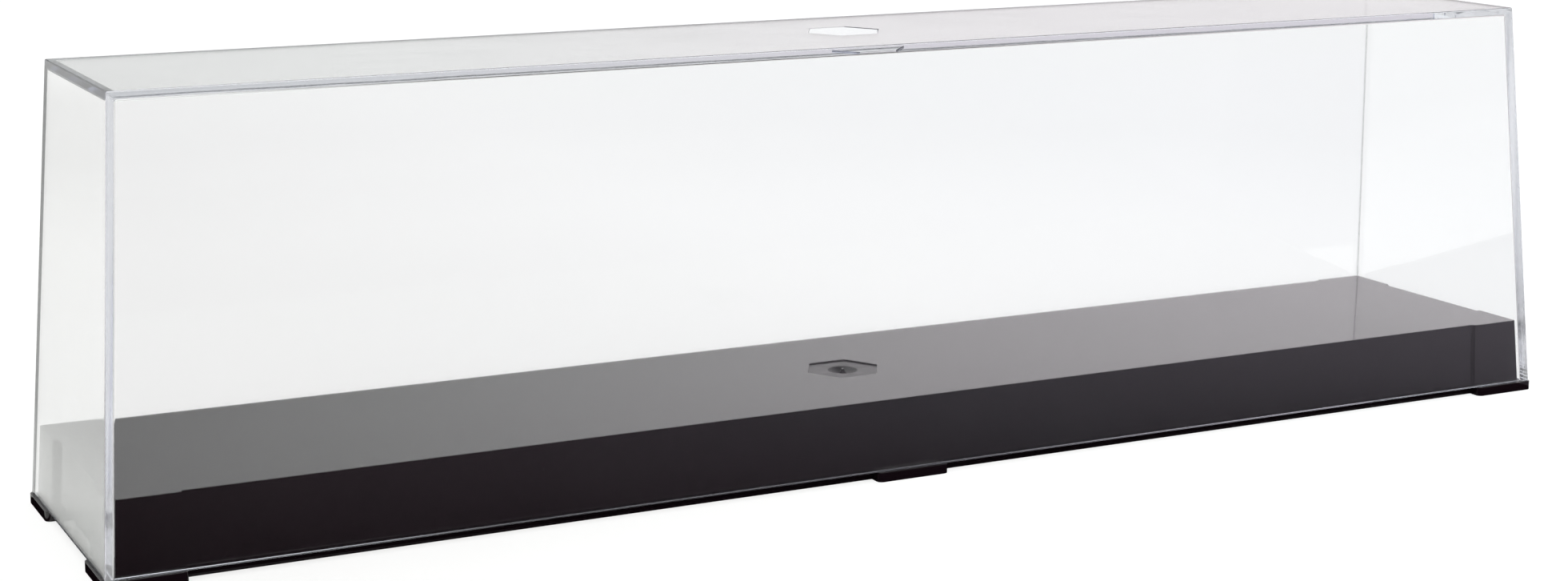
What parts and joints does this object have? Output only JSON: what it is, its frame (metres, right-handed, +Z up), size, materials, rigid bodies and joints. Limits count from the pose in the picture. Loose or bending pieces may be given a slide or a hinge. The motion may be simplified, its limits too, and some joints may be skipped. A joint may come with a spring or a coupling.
{
  "type": "model train display case",
  "caption": "Long clear display case: tapered one-piece cover over a low black plinth, resting on flat pads, with a hexagonal recess in roof and deck.",
  "frame": {"origin": "middle of the footprint, on the surface that the case stands on", "axes": "+X along the case, +Y from its front to its back, +Z up"},
  "size_m": [0.351, 0.068, 0.094],
  "materials": {
    "black_polystyrene": "glossy injection-moulded black polystyrene",
    "clear_polystyrene": "polished injection-moulded clear polystyrene",
    "white_label": "white coated label paper"
  },
  "bodies": {
    "base": {"display_base": "black_polystyrene"},
    "cover": {"clear_cover": "clear_polystyrene", "top_label": "white_label"}
  },
  "joints": [
    {"name": "cover_lift", "type": "slide", "parent": "base", "child": "cover", "axis": [0, 0, 1], "range_m": [0, 0.1]}
  ]
}
